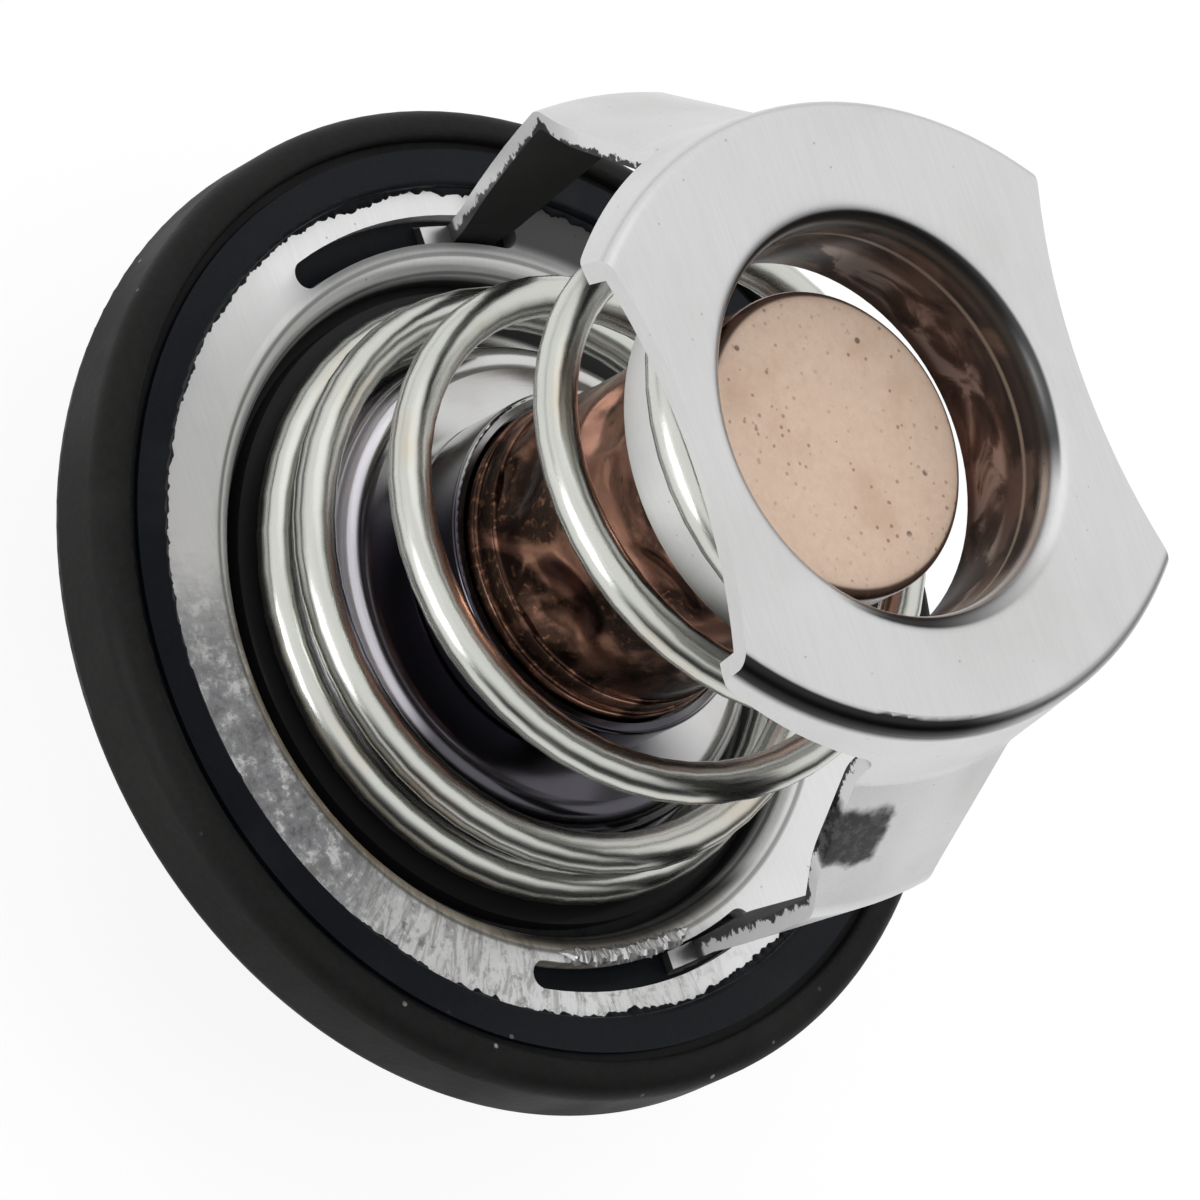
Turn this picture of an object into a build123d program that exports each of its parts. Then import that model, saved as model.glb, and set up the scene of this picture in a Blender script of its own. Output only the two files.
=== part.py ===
from build123d import *
import math
import os

# Wax-element engine thermostat, in millimetres.
# The origin lies on the axis, in the middle plane of the rubber seal ring.
# +Z runs along the axis towards the sensing end, and the lower frame's two legs stand at +X and -X.
# The valve opens by sliding along +Z, away from its seat and against the main spring.

# ---- Fits and clearances
running_clearance = 0.03      # piston in its guide, per side
seal_clearance = 0.05         # piston in its stem seal, per side
spring_end_gap = 0.05         # end coils to the faces they bear on
spring_locating_gap = 0.10    # last coil round the guide collar
leg_slot_gap = 0.10           # frame leg to the slot's inner edge
plate_recess_gap = 0.60       # valve plate in the flange recess, per side
cup_fit_gap = 0.20            # crimped skirt inside the retaining cup
bridge_wall_gap = 0.50        # bridge leg to the drawn wall of the seat
ring_foot_gap = 0.40          # frame and bridge feet to the ring's lower lip

# ---- Rubber seal ring, moulded round the flange's edge
ring_outer_r = 28.0
ring_height = 5.1
ring_rise = 1.2               # top of the ring above the flange's upper face
ring_top_round = 1.4
ring_bottom_round = 0.8
ring_bead_width = 2.2         # from the outer wall in to the moulded line
ring_line_depth = 0.35
ring_line_width = 0.5
ring_band_rise = 0.75         # flat band above the flange's upper face
ring_edge_cover = 1.7         # rubber outside the flange's edge
ring_upper_grip = 2.8         # rubber over the flange's upper face
ring_lower_grip = 2.3
ring_lip_round = 0.35

# ---- Flange with the valve seat
flange_sheet = 1.2
flange_land = 7.8             # from the recess wall's inner face out to the edge
recess_bend = 1.9
seat_depth = 2.35             # flange's upper face down to the seat
seat_bend = 0.4
seat_width = 3.0              # from the recess wall's inner face in to the bore
slot_width = 1.6
slot_half_angle = 19.5

# ---- Lower frame: one strap, with two legs, shoulders, end walls and a top pan
frame_sheet = 1.0
pan_rise = 33.0               # pan's upper face above the flange's upper face
pan_end_shift = 5.0           # the end walls turn about an axis this far past the centre
pan_side_half = 13.4          # half width at the middle of the concave sides
pan_side_radius = 34.0
pan_rim_bend = 0.9
pan_wall_lean = 0.95          # end wall's foot outside its rim
pan_wall_drop = 6.1           # where the wall turns out into the shoulder
shoulder_width = 4.8          # end wall's foot to the leg's bend
shoulder_fillet = 2.0
shoulder_bend = 2.2
shoulder_drop = 15.0          # leg's bend below the pan's upper face
leg_lean = 1.3                # leg's bend outside its foot
leg_foot_edge = 6.6           # leg's straight edge at the foot, towards -Y
leg_foot_width = 2.7          # leg where it passes the flange
hook_width = 4.6              # wider hook under the flange
leg_straight_rise = 2.0       # straight foot of the leg, above the flange's upper face
leg_bend = 12.0
waist_half_width = 4.9
waist_drop = 14.0             # leg's straight edge ends here, below the pan's upper face
knee_edge = 4.7               # leg's slanted edge ends here, towards +Y
knee_drop = 12.0
knee_round = 8.0
neck_half_width = 5.7
neck_drop = 3.8               # where the strap meets the end wall's lower edge
neck_fillet = 1.2
wall_edge_drop = 2.2          # end wall's lower edge at the corner
wall_edge_y = 15.3
wall_edge_flare = 1.0         # the corner's edge leans out by this much up to the pan
pan_corner_round = 0.8
foot_bend = 0.3

# ---- Guide collar round the hole in the pan
collar_bore_r = 10.7
collar_depth = 7.7            # collar's lower edge below the pan's upper face
collar_roll = 1.3

# ---- Bridge on the outlet side, carrying the piston
bridge_sheet = 1.2
bridge_drop = 15.6            # crown's inner face below the flange's upper face
bridge_wall_drop = 4.4
bridge_shoulder_width = 5.0   # haunch inside the bridge's wall
bridge_haunch_drop = 11.6
bridge_crown_r = 8.6
bridge_foot_half_width = 5.6
bridge_neck_half_width = 4.4
bridge_neck_r = 10.0
bridge_boss_r = 6.2
bridge_haunch_bend = 4.0
bridge_leg_bend = 2.2
bridge_foot_bend = 1.6
piston_cup_depth = 3.0
piston_cup_bend = 0.8
piston_cup_corner = 0.25

# ---- Valve plate
plate_sheet = 1.2
plate_rim_width = 4.0         # spring's seat, outside the raised middle
plate_dome_rise = 4.15        # raised middle above the spring's seat
plate_dome_round = 1.7
plate_root_fillet = 0.9

# ---- Wax element
piston_r = 2.0
piston_tip_chamfer = 0.3
piston_depth = 0.9            # piston's inner end above the plate's raised face
capsule_r = 8.45
capsule_end_rise = 28.0       # closed end above the flange's upper face
capsule_wall = 0.8
capsule_end_round = 0.8
skirt_step = 0.23             # each of the two steps from the side out to the skirt
skirt_height = 4.3
skirt_step_height = 1.4
crimp_lip_width = 1.5
cup_wall = 0.6
cup_height = 4.2
cup_lip_round = 0.25
diaphragm_thickness = 0.8
guide_flange_height = 3.2
guide_neck_r = 6.0
guide_stake_r = 6.9
guide_stake_height = 0.6
guide_nose_r = 4.9
guide_nose_length = 10.2      # nose below the stake
guide_nose_chamfer = 0.6
cone_mouth_r = 4.5
cone_depth = 2.5
washer_thickness = 0.5
stem_seal_r = 3.4
stem_seal_height = 2.3
stem_lip = 0.5
stem_mouth_r = 2.6

# ---- Main spring, a conical coil with closed ends
wire_r = 1.15
seat_coil_gap = 1.10          # first coil to the plate's raised wall
coil_rise_shares = (0.0, 0.091, 0.321, 0.707, 1.0)
coil_rise_slopes = (0.0, 0.05, 0.31, 0.34, 0.0)
coil_taper_shares = (0.0, 0.13, 0.54, 0.84, 1.0)
coil_taper_slopes = (0.0, 0.27, 0.35, 0.23, 0.0)
coil_start_angle = 68.0       # degrees from +X to where the coil starts to rise
lead_in_turns = 0.19
lead_out_turns = 0.55
points_per_turn = 12

# ---- Heights and radii that follow from the sizes above
flange_top = ring_height / 2 - ring_rise
flange_under = flange_top - flange_sheet
flange_r = ring_outer_r - ring_edge_cover
recess_r = flange_r - flange_land
seat_bore_r = recess_r - seat_width
ring_upper_lip_r = flange_r - ring_upper_grip
ring_lower_lip_r = flange_r - ring_lower_grip
seat_top = flange_top - seat_depth
spring_seat = seat_top + plate_sheet
plate_r = recess_r - plate_recess_gap
plate_dome_r = plate_r - plate_rim_width
dome_top = spring_seat + plate_dome_rise
slot_inner_r = recess_r + recess_bend
slot_outer_r = slot_inner_r + slot_width
leg_inner_x = slot_inner_r + leg_slot_gap
leg_outer_x = leg_inner_x + frame_sheet
leg_bend_x = leg_outer_x + leg_lean
pan_wall_foot_x = leg_bend_x - shoulder_width
pan_end_x = pan_wall_foot_x - pan_wall_lean
bridge_wall_r = recess_r + flange_sheet + bridge_wall_gap
bridge_haunch_r = bridge_wall_r - bridge_shoulder_width
pan_top = flange_top + pan_rise
pan_under = pan_top - frame_sheet
foot_outer_r = ring_lower_lip_r - ring_foot_gap
cup_floor = dome_top + cup_wall
guide_flange_under = cup_floor + capsule_wall
guide_flange_top = guide_flange_under + guide_flange_height
diaphragm_top = guide_flange_top + diaphragm_thickness
skirt_step_r = capsule_r + skirt_step
skirt_r = skirt_step_r + skirt_step
skirt_bore_r = skirt_r - capsule_wall
capsule_end = flange_top + capsule_end_rise
skirt_top = cup_floor + skirt_height
step_top = skirt_top + skirt_step_height
stake_under = dome_top - plate_sheet - guide_stake_height
nose_end = stake_under - guide_nose_length
piston_bore_r = piston_r + running_clearance
piston_inner_end = dome_top + piston_depth
crown_face = flange_top - bridge_drop
piston_outer_end = crown_face - piston_cup_depth
far = 100.0                   # reach of the cutting prisms, beyond every piece
margin = 1.0                  # overshoot of a hole's cutter, past each face
corner_share = 0.9            # part of a small step that its rounded corner takes


def turned(*points):
    """Solid of revolution about the main axis from a closed outline of (radius, height) points."""
    return revolve(Plane.XZ * make_face(Polyline(*points, close=True)), Axis.Z)


def sheet_section(points, radii, thickness):
    """Section of a bent sheet: its face line with rounded bends, thickened to one side."""
    face_line = FilletPolyline(*points, radius=radii)
    return Plane.XZ * make_face(offset(face_line, amount=thickness, side=Side.RIGHT))


def edges_at(solid, radius, height):
    """Circular edges of a turned solid with this radius at this height."""
    circles = solid.edges().filter_by(GeomType.CIRCLE)
    return circles.filter_by(
        lambda e: abs(e.radius - radius) < 0.01 and abs(e.center().Z - height) < 0.01
    )


def make_seal_ring():
    top = ring_height / 2
    bottom = -ring_height / 2
    band = flange_top + ring_band_rise
    line_r = ring_outer_r - ring_bead_width
    line_floor = band - ring_line_depth
    ring = turned(
        (ring_outer_r, bottom),
        (ring_outer_r, top),
        (line_r + ring_line_width / 2, top),
        (line_r + ring_line_width / 2, line_floor),
        (line_r - ring_line_width / 2, line_floor),
        (line_r - ring_line_width / 2, band),
        (ring_upper_lip_r, band),
        (ring_upper_lip_r, flange_top),
        (flange_r, flange_top),
        (flange_r, flange_under),
        (ring_lower_lip_r, flange_under),
        (ring_lower_lip_r, bottom),
    )
    bead_inner = edges_at(ring, line_r + ring_line_width / 2, top)
    ring = fillet(bead_inner, (top - band) * corner_share)
    ring = fillet(edges_at(ring, ring_outer_r, top), ring_top_round)
    ring = fillet(edges_at(ring, ring_outer_r, bottom), ring_bottom_round)
    return fillet(edges_at(ring, ring_upper_lip_r, band), ring_lip_round)


def make_flange():
    section = sheet_section(
        [
            (seat_bore_r, seat_top),
            (recess_r, seat_top),
            (recess_r, flange_top),
            (flange_r, flange_top),
        ],
        [seat_bend, recess_bend],
        flange_sheet,
    )
    flange = revolve(section, Axis.Z)
    arc = SlotArc(
        CenterArc(
            (0, 0),
            (slot_inner_r + slot_outer_r) / 2,
            -slot_half_angle,
            2 * slot_half_angle,
        ),
        slot_width,
    )
    slot = Pos(0, 0, flange_under - margin) * extrude(arc, flange_sheet + 2 * margin)
    return flange - slot - mirror(slot, Plane.YZ)


def frame_blank_half():
    """Half of the strap before it is cut to its outline, turned about the shifted axis."""
    section = sheet_section(
        [
            (0, pan_top),
            (pan_end_x, pan_top),
            (pan_wall_foot_x, pan_top - pan_wall_drop),
            (leg_bend_x, pan_top - shoulder_drop),
            (leg_outer_x, flange_top + leg_straight_rise),
            (leg_outer_x, flange_under),
            (foot_outer_r, flange_under),
        ],
        [pan_rim_bend, shoulder_fillet, shoulder_bend, leg_bend, foot_bend],
        frame_sheet,
    )
    blank = revolve(section, Axis((-pan_end_shift, 0, 0), (0, 0, 1)))
    half_space = Box(far, far, far, align=(Align.MIN, Align.CENTER, Align.CENTER))
    return blank & half_space


def pan_outline():
    """Outline of the pan with its concave sides, seen along the axis."""
    reach = pan_wall_foot_x
    side_end = pan_side_half + pan_side_radius - math.sqrt(pan_side_radius**2 - reach**2)
    side = ThreePointArc((-reach, side_end), (0, pan_side_half), (reach, side_end))
    run_out = Line((reach, side_end), (far / 2, side_end))
    end = Line((far / 2, side_end), (far / 2, -side_end))
    half = [run_out, mirror(run_out, Plane.XZ), end]
    ends = half + [mirror(edge, Plane.YZ) for edge in half]
    return make_face(ends + [side, mirror(side, Plane.XZ)])


def strap_outline():
    """Outline of the legs, shoulders and end walls in side view, as (Y, Z).

    Each leg slants to a narrow foot at the -Y end of its slot.
    """
    bottom = flange_under - frame_sheet
    top = pan_top + frame_sheet
    hook_top = flange_top - flange_sheet / 2
    neck_z = pan_top - neck_drop
    corner_z = pan_top - wall_edge_drop
    crown_half = wall_edge_y + wall_edge_flare
    foot_end = leg_foot_width - leg_foot_edge
    hook_end = hook_width - leg_foot_edge
    hook = Polyline(
        (-leg_foot_edge, bottom), (hook_end, bottom), (hook_end, hook_top), (foot_end, hook_top)
    )
    slanted_edge = FilletPolyline(
        (foot_end, hook_top),
        (knee_edge, pan_top - knee_drop),
        (neck_half_width, neck_z),
        (wall_edge_y, corner_z),
        (crown_half, top),
        radius=[knee_round, neck_fillet, pan_corner_round],
    )
    straight_edge = FilletPolyline(
        (-leg_foot_edge, bottom),
        (-waist_half_width, pan_top - waist_drop),
        (-neck_half_width, neck_z),
        (-wall_edge_y, corner_z),
        (-crown_half, top),
        radius=[knee_round, neck_fillet, pan_corner_round],
    )
    crown = Line((crown_half, top), (-crown_half, top))
    return make_face([*hook.edges(), *slanted_edge.edges(), *straight_edge.edges(), crown])


def make_lower_frame():
    half = frame_blank_half()
    blank = half + mirror(half, Plane.YZ)
    pan_prism = extrude(pan_outline(), far, both=True)
    strap_prism = Plane.YZ * extrude(strap_outline(), far / 2, both=True)
    strap = (blank & pan_prism) & strap_prism
    collar_section = sheet_section(
        [
            (collar_bore_r, pan_top - collar_depth),
            (collar_bore_r, pan_top),
            (collar_bore_r + collar_roll + frame_sheet, pan_top),
        ],
        [collar_roll],
        frame_sheet,
    )
    hole = Pos(0, 0, pan_under - margin) * Cylinder(
        collar_bore_r + collar_roll,
        frame_sheet + 2 * margin,
        align=(Align.CENTER, Align.CENTER, Align.MIN),
    )
    return strap - hole + revolve(collar_section, Axis.Z)


def bridge_outline():
    """Outline of the bridge seen along the axis, with its feet at +Y and -Y."""
    quarter = make_face(
        Polyline(
            (0, far / 2),
            (bridge_foot_half_width, far / 2),
            (bridge_foot_half_width, slot_inner_r),
            (bridge_neck_half_width, bridge_neck_r),
            (bridge_neck_half_width, 0),
            (0, 0),
            close=True,
        )
    )
    half = quarter + mirror(quarter, Plane.YZ)
    return half + mirror(half, Plane.XZ) + Circle(bridge_boss_r)


def make_bridge():
    section = sheet_section(
        [
            (0, piston_outer_end),
            (piston_r, piston_outer_end),
            (piston_r, crown_face),
            (bridge_crown_r, crown_face),
            (bridge_haunch_r, flange_top - bridge_haunch_drop),
            (bridge_wall_r, flange_top - bridge_wall_drop),
            (bridge_wall_r, flange_under),
            (foot_outer_r, flange_under),
        ],
        [
            piston_cup_corner,
            piston_cup_bend,
            bridge_haunch_bend,
            bridge_haunch_bend,
            bridge_leg_bend,
            bridge_foot_bend,
        ],
        bridge_sheet,
    )
    dome = revolve(section, Axis.Z)
    return dome & extrude(bridge_outline(), far, both=True)


def make_piston():
    length = piston_inner_end - piston_outer_end
    pin = Pos(0, 0, piston_outer_end) * Cylinder(
        piston_r, length, align=(Align.CENTER, Align.CENTER, Align.MIN)
    )
    return chamfer(edges_at(pin, piston_r, piston_outer_end), piston_tip_chamfer)


def make_valve_plate():
    section = sheet_section(
        [
            (guide_neck_r, dome_top),
            (plate_dome_r, dome_top),
            (plate_dome_r, spring_seat),
            (plate_r, spring_seat),
        ],
        [plate_dome_round, plate_root_fillet],
        plate_sheet,
    )
    return revolve(section, Axis.Z)


def make_retaining_cup():
    outer_r = skirt_r + cup_fit_gap + cup_wall
    cup = turned(
        (guide_neck_r, dome_top),
        (outer_r, dome_top),
        (outer_r, dome_top + cup_height),
        (outer_r - cup_wall, dome_top + cup_height),
        (outer_r - cup_wall, cup_floor),
        (guide_neck_r, cup_floor),
    )
    return fillet(
        edges_at(cup, outer_r, dome_top + cup_height) + edges_at(cup, outer_r, dome_top),
        cup_lip_round,
    )


def make_wax_capsule():
    bore_r = capsule_r - capsule_wall
    lip_r = skirt_bore_r - crimp_lip_width
    capsule = turned(
        (0, capsule_end),
        (capsule_r, capsule_end),
        (capsule_r, step_top),
        (skirt_step_r, step_top),
        (skirt_step_r, skirt_top),
        (skirt_r, skirt_top),
        (skirt_r, cup_floor),
        (lip_r, cup_floor),
        (lip_r, guide_flange_under),
        (skirt_bore_r, guide_flange_under),
        (skirt_bore_r, diaphragm_top),
        (bore_r, diaphragm_top),
        (bore_r, capsule_end - capsule_wall),
        (0, capsule_end - capsule_wall),
    )
    capsule = fillet(edges_at(capsule, capsule_r, capsule_end), capsule_end_round)
    steps = edges_at(capsule, skirt_step_r, step_top) + edges_at(capsule, skirt_r, skirt_top)
    capsule = fillet(steps, skirt_step * corner_share)
    return fillet(edges_at(capsule, skirt_r, cup_floor), capsule_wall / 2)


def make_guide():
    cone_foot = guide_flange_top - cone_depth
    seal_floor = nose_end + stem_lip
    guide = turned(
        (cone_mouth_r, guide_flange_top),
        (skirt_bore_r, guide_flange_top),
        (skirt_bore_r, guide_flange_under),
        (guide_neck_r, guide_flange_under),
        (guide_neck_r, stake_under + guide_stake_height),
        (guide_stake_r, stake_under + guide_stake_height),
        (guide_stake_r, stake_under),
        (guide_nose_r, stake_under),
        (guide_nose_r, nose_end),
        (stem_mouth_r, nose_end),
        (stem_mouth_r, seal_floor),
        (stem_seal_r, seal_floor),
        (stem_seal_r, seal_floor + stem_seal_height),
        (piston_bore_r, seal_floor + stem_seal_height),
        (piston_bore_r, cone_foot),
    )
    guide = chamfer(edges_at(guide, guide_nose_r, nose_end), guide_nose_chamfer)
    return fillet(edges_at(guide, guide_stake_r, stake_under), guide_stake_height / 2)


def make_wax_pellet():
    return Pos(0, 0, diaphragm_top) * Cylinder(
        capsule_r - capsule_wall,
        capsule_end - capsule_wall - diaphragm_top,
        align=(Align.CENTER, Align.CENTER, Align.MIN),
    )


def make_diaphragm():
    return Pos(0, 0, guide_flange_top) * Cylinder(
        skirt_bore_r, diaphragm_thickness, align=(Align.CENTER, Align.CENTER, Align.MIN)
    )


def make_plug():
    cone_foot = guide_flange_top - cone_depth
    return turned(
        (0, guide_flange_top),
        (cone_mouth_r, guide_flange_top),
        (piston_bore_r, cone_foot),
        (piston_bore_r, piston_inner_end + washer_thickness),
        (0, piston_inner_end + washer_thickness),
    )


def make_piston_washer():
    return Pos(0, 0, piston_inner_end) * Cylinder(
        piston_bore_r, washer_thickness, align=(Align.CENTER, Align.CENTER, Align.MIN)
    )


def make_stem_seal():
    floor = nose_end + stem_lip
    return turned(
        (piston_r + seal_clearance, floor),
        (stem_seal_r, floor),
        (stem_seal_r, floor + stem_seal_height),
        (piston_r + seal_clearance, floor + stem_seal_height),
    )


def eased(shares, slopes, turn):
    """Smooth curve through the shares at whole turns, with these slopes per turn."""
    index = min(max(math.floor(turn), 0), len(shares) - 2)
    step = min(max(turn - index, 0), 1)
    blend = step**2 * (3 - 2 * step)
    return (
        shares[index] * (1 - blend)
        + shares[index + 1] * blend
        + slopes[index] * step * (1 - step) ** 2
        - slopes[index + 1] * step**2 * (1 - step)
    )


def make_main_spring():
    low = spring_seat + wire_r + spring_end_gap
    high = pan_under - wire_r - spring_end_gap
    wide = plate_dome_r + seat_coil_gap + wire_r
    narrow = collar_bore_r + frame_sheet + spring_locating_gap + wire_r
    total_turns = lead_in_turns + len(coil_rise_shares) - 1 + lead_out_turns
    steps = round(total_turns * points_per_turn)
    points = []
    for index in range(steps + 1):
        turn = index / steps * total_turns - lead_in_turns
        angle = math.radians(coil_start_angle + 360 * turn)
        radius = wide + (narrow - wide) * eased(coil_taper_shares, coil_taper_slopes, turn)
        height = low + (high - low) * eased(coil_rise_shares, coil_rise_slopes, turn)
        points.append((radius * math.cos(angle), radius * math.sin(angle), height))
    wire_line = Spline(*points)
    section = Plane(wire_line @ 0, z_dir=wire_line % 0) * Circle(wire_r)
    return sweep(section, path=wire_line)


parts = {
    "seal_ring": make_seal_ring,
    "flange": make_flange,
    "lower_frame": make_lower_frame,
    "bridge": make_bridge,
    "piston": make_piston,
    "main_spring": make_main_spring,
    "valve_plate": make_valve_plate,
    "retaining_cup": make_retaining_cup,
    "wax_capsule": make_wax_capsule,
    "guide": make_guide,
    "wax_pellet": make_wax_pellet,
    "diaphragm": make_diaphragm,
    "plug": make_plug,
    "piston_washer": make_piston_washer,
    "stem_seal": make_stem_seal,
}

os.makedirs("parts", exist_ok=True)
for name, make in parts.items():
    solid = make()
    export_step(solid, f"parts/{name}.step")
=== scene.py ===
import bpy
import math
from mathutils import Matrix, Vector, noise


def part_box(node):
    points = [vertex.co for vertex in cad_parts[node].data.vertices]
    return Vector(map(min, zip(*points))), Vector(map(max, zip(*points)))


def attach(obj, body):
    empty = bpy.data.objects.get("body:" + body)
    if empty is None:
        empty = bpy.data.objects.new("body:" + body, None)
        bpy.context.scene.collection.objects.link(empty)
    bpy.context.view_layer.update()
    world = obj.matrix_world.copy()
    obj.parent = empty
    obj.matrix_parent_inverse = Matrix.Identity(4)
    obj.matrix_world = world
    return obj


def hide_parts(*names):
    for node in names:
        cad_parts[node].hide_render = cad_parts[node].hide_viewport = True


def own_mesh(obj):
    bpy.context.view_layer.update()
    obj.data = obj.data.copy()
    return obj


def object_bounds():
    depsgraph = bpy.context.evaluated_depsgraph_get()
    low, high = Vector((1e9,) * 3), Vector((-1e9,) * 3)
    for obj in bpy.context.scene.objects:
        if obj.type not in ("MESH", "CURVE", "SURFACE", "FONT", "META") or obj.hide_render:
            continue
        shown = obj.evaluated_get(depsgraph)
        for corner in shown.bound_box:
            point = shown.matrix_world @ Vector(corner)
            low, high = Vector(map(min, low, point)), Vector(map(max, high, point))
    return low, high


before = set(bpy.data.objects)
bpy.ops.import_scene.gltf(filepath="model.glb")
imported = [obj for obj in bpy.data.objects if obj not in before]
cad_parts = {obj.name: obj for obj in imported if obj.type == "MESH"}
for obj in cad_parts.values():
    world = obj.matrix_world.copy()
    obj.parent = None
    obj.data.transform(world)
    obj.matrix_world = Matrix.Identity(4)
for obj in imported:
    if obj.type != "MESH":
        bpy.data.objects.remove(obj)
cad_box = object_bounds()

MM = 0.001

# ---- Camera: the photograph's viewing angle, from the pan's side of the part
CAMERA_PLACE = Vector((-0.06405, 0.34564, 0.41288))
CAMERA_RIGHT = Vector((-0.3222, -0.74432, 0.58492))
CAMERA_UP = Vector((0.93958, -0.17580, 0.29386))
CAMERA_BACK = Vector((-0.11592, 0.64426, 0.75599))
CAMERA_LENS = 300.0
CAMERA_SENSOR = 36.0
CAMERA_CLIP_START = 0.01

# ---- Studio, in metres
LIGHT_SIDE = (0.50, -0.10, 0.86)
DOME_EDGE = (-0.10, 0.42)         # cosines towards the light side, from the dark to the bright
DOME_DARK = 0.02
LAMP_TARGET = (0, 0, 0.01)
FLOOR_HALF = 3.0
FLOOR_GAP = 0.0005
FLOOR_GLOW = 0.87
FLOOR_GLOW_FADE = (0.10, 0.45)    # radii where the glow that metal mirrors grows weaker
FLOOR_GLOW_FAR = 0.12
# Under the part the floor's glow is taken out for metal mirrors: a painted shadow.
FLOOR_PAINTED_SHADOW = (0.018, 0.022)  # radii under the part where metal mirrors no glow

# ---- Sizes in millimetres, read from the frame where a node gives them
spring_low, spring_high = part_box("main_spring")
capsule_low, capsule_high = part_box("wax_capsule")
FLANGE_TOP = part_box("flange")[1][2] / MM
FLANGE_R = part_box("flange")[1][0] / MM
FRAME_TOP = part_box("lower_frame")[1][2] / MM
RING_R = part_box("seal_ring")[1][0] / MM
PLATE_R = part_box("valve_plate")[1][0] / MM
CAPSULE_END = capsule_high[2] / MM
CAPSULE_FOOT = capsule_low[2] / MM
SKIRT_R = capsule_high[0] / MM

# ---- Rubber ring and flange
RING_BEAD_WIDTH = 2.2
RING_UPPER_GRIP = 2.8
RING_LOWER_GRIP = 2.3
FLANGE_SHEET = 1.2
FLANGE_LAND = 7.8
RECESS_BEND = 1.9
MOULDED_LINE_R = RING_R - RING_BEAD_WIDTH
UPPER_LIP_R = FLANGE_R - RING_UPPER_GRIP
LOWER_LIP_R = FLANGE_R - RING_LOWER_GRIP
RECESS_R = FLANGE_R - FLANGE_LAND
SLOT_INNER_R = RECESS_R + RECESS_BEND

# ---- Frame: sheet, collar, knee of the legs, and the outer faces of shoulder and leg
FRAME_SHEET = 1.0
COLLAR_BORE_R = 10.7
COLLAR_OUTER_R = COLLAR_BORE_R + FRAME_SHEET
KNEE_HEIGHT = (19.5, 20.5)
SHOULDER_NORMAL = (0.88, 0.475)   # its shares outward and up
SHOULDER_PLANE = 28.73
LEG_FOOT_X = 21.3
LEG_LEAN = 0.065                  # outward for each millimetre up

# ---- Valve plate and capsule
PLATE_RIM_WIDTH = 4.0
PLATE_DOME_R = PLATE_R - PLATE_RIM_WIDTH
CAPSULE_WALL = 0.8
CAPSULE_ROUND = 0.8
SKIRT_STEP = 0.23
SKIRT_HEIGHT = 4.3
SKIRT_STEP_HEIGHT = 1.4
CRIMP_BORE_R = 6.6
CAPSULE_STEP_R = SKIRT_R - SKIRT_STEP
CAPSULE_R = CAPSULE_STEP_R - SKIRT_STEP

# ---- Main spring, the same coil as the frame's
WIRE_R = 1.15
SEAT_COIL_GAP = 1.10
LOCATING_GAP = 0.10
COIL_LOW = spring_low[2] / MM + WIRE_R
COIL_HIGH = spring_high[2] / MM - WIRE_R
COIL_WIDE = PLATE_DOME_R + SEAT_COIL_GAP + WIRE_R
COIL_NARROW = COLLAR_OUTER_R + LOCATING_GAP + WIRE_R
COIL_START = math.radians(68)
LEAD_IN = 0.19                    # turns before the first share below, and after the last
LEAD_OUT = 0.55
COIL_RISE = (0.0, 0.091, 0.321, 0.707, 1.0)
COIL_RISE_SLOPES = (0.0, 0.05, 0.31, 0.34, 0.0)
COIL_TAPER = (0.0, 0.13, 0.54, 0.84, 1.0)
COIL_TAPER_SLOPES = (0.0, 0.27, 0.35, 0.23, 0.0)

# ---- Dents pressed into the capsule's side: angle, height, half angle, half height, depth
CAPSULE_DENTS = (
    (56, 12.6, 17, 2.6, 0.45),
    (108, 13.2, 19, 3.0, 0.60),
    (119, 20.6, 20, 2.2, 0.50),
    (48, 20.4, 18, 2.6, 0.45),
    (175, 16.5, 20, 3.0, 0.50),
    (232, 20.0, 18, 2.6, 0.45),
    (290, 14.0, 20, 3.0, 0.50),
    (350, 19.0, 19, 2.8, 0.45),
)


# ---- Short calls for building node trees
def put(tree, socket, value):
    """Links a socket into another one, or sets it to a constant."""
    if isinstance(value, bpy.types.NodeSocket):
        tree.links.new(value, socket)
    else:
        socket.default_value = value


def grey(value, warm=0.0):
    return (value * (1 + warm), value, value * (1 - warm), 1.0)


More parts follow.
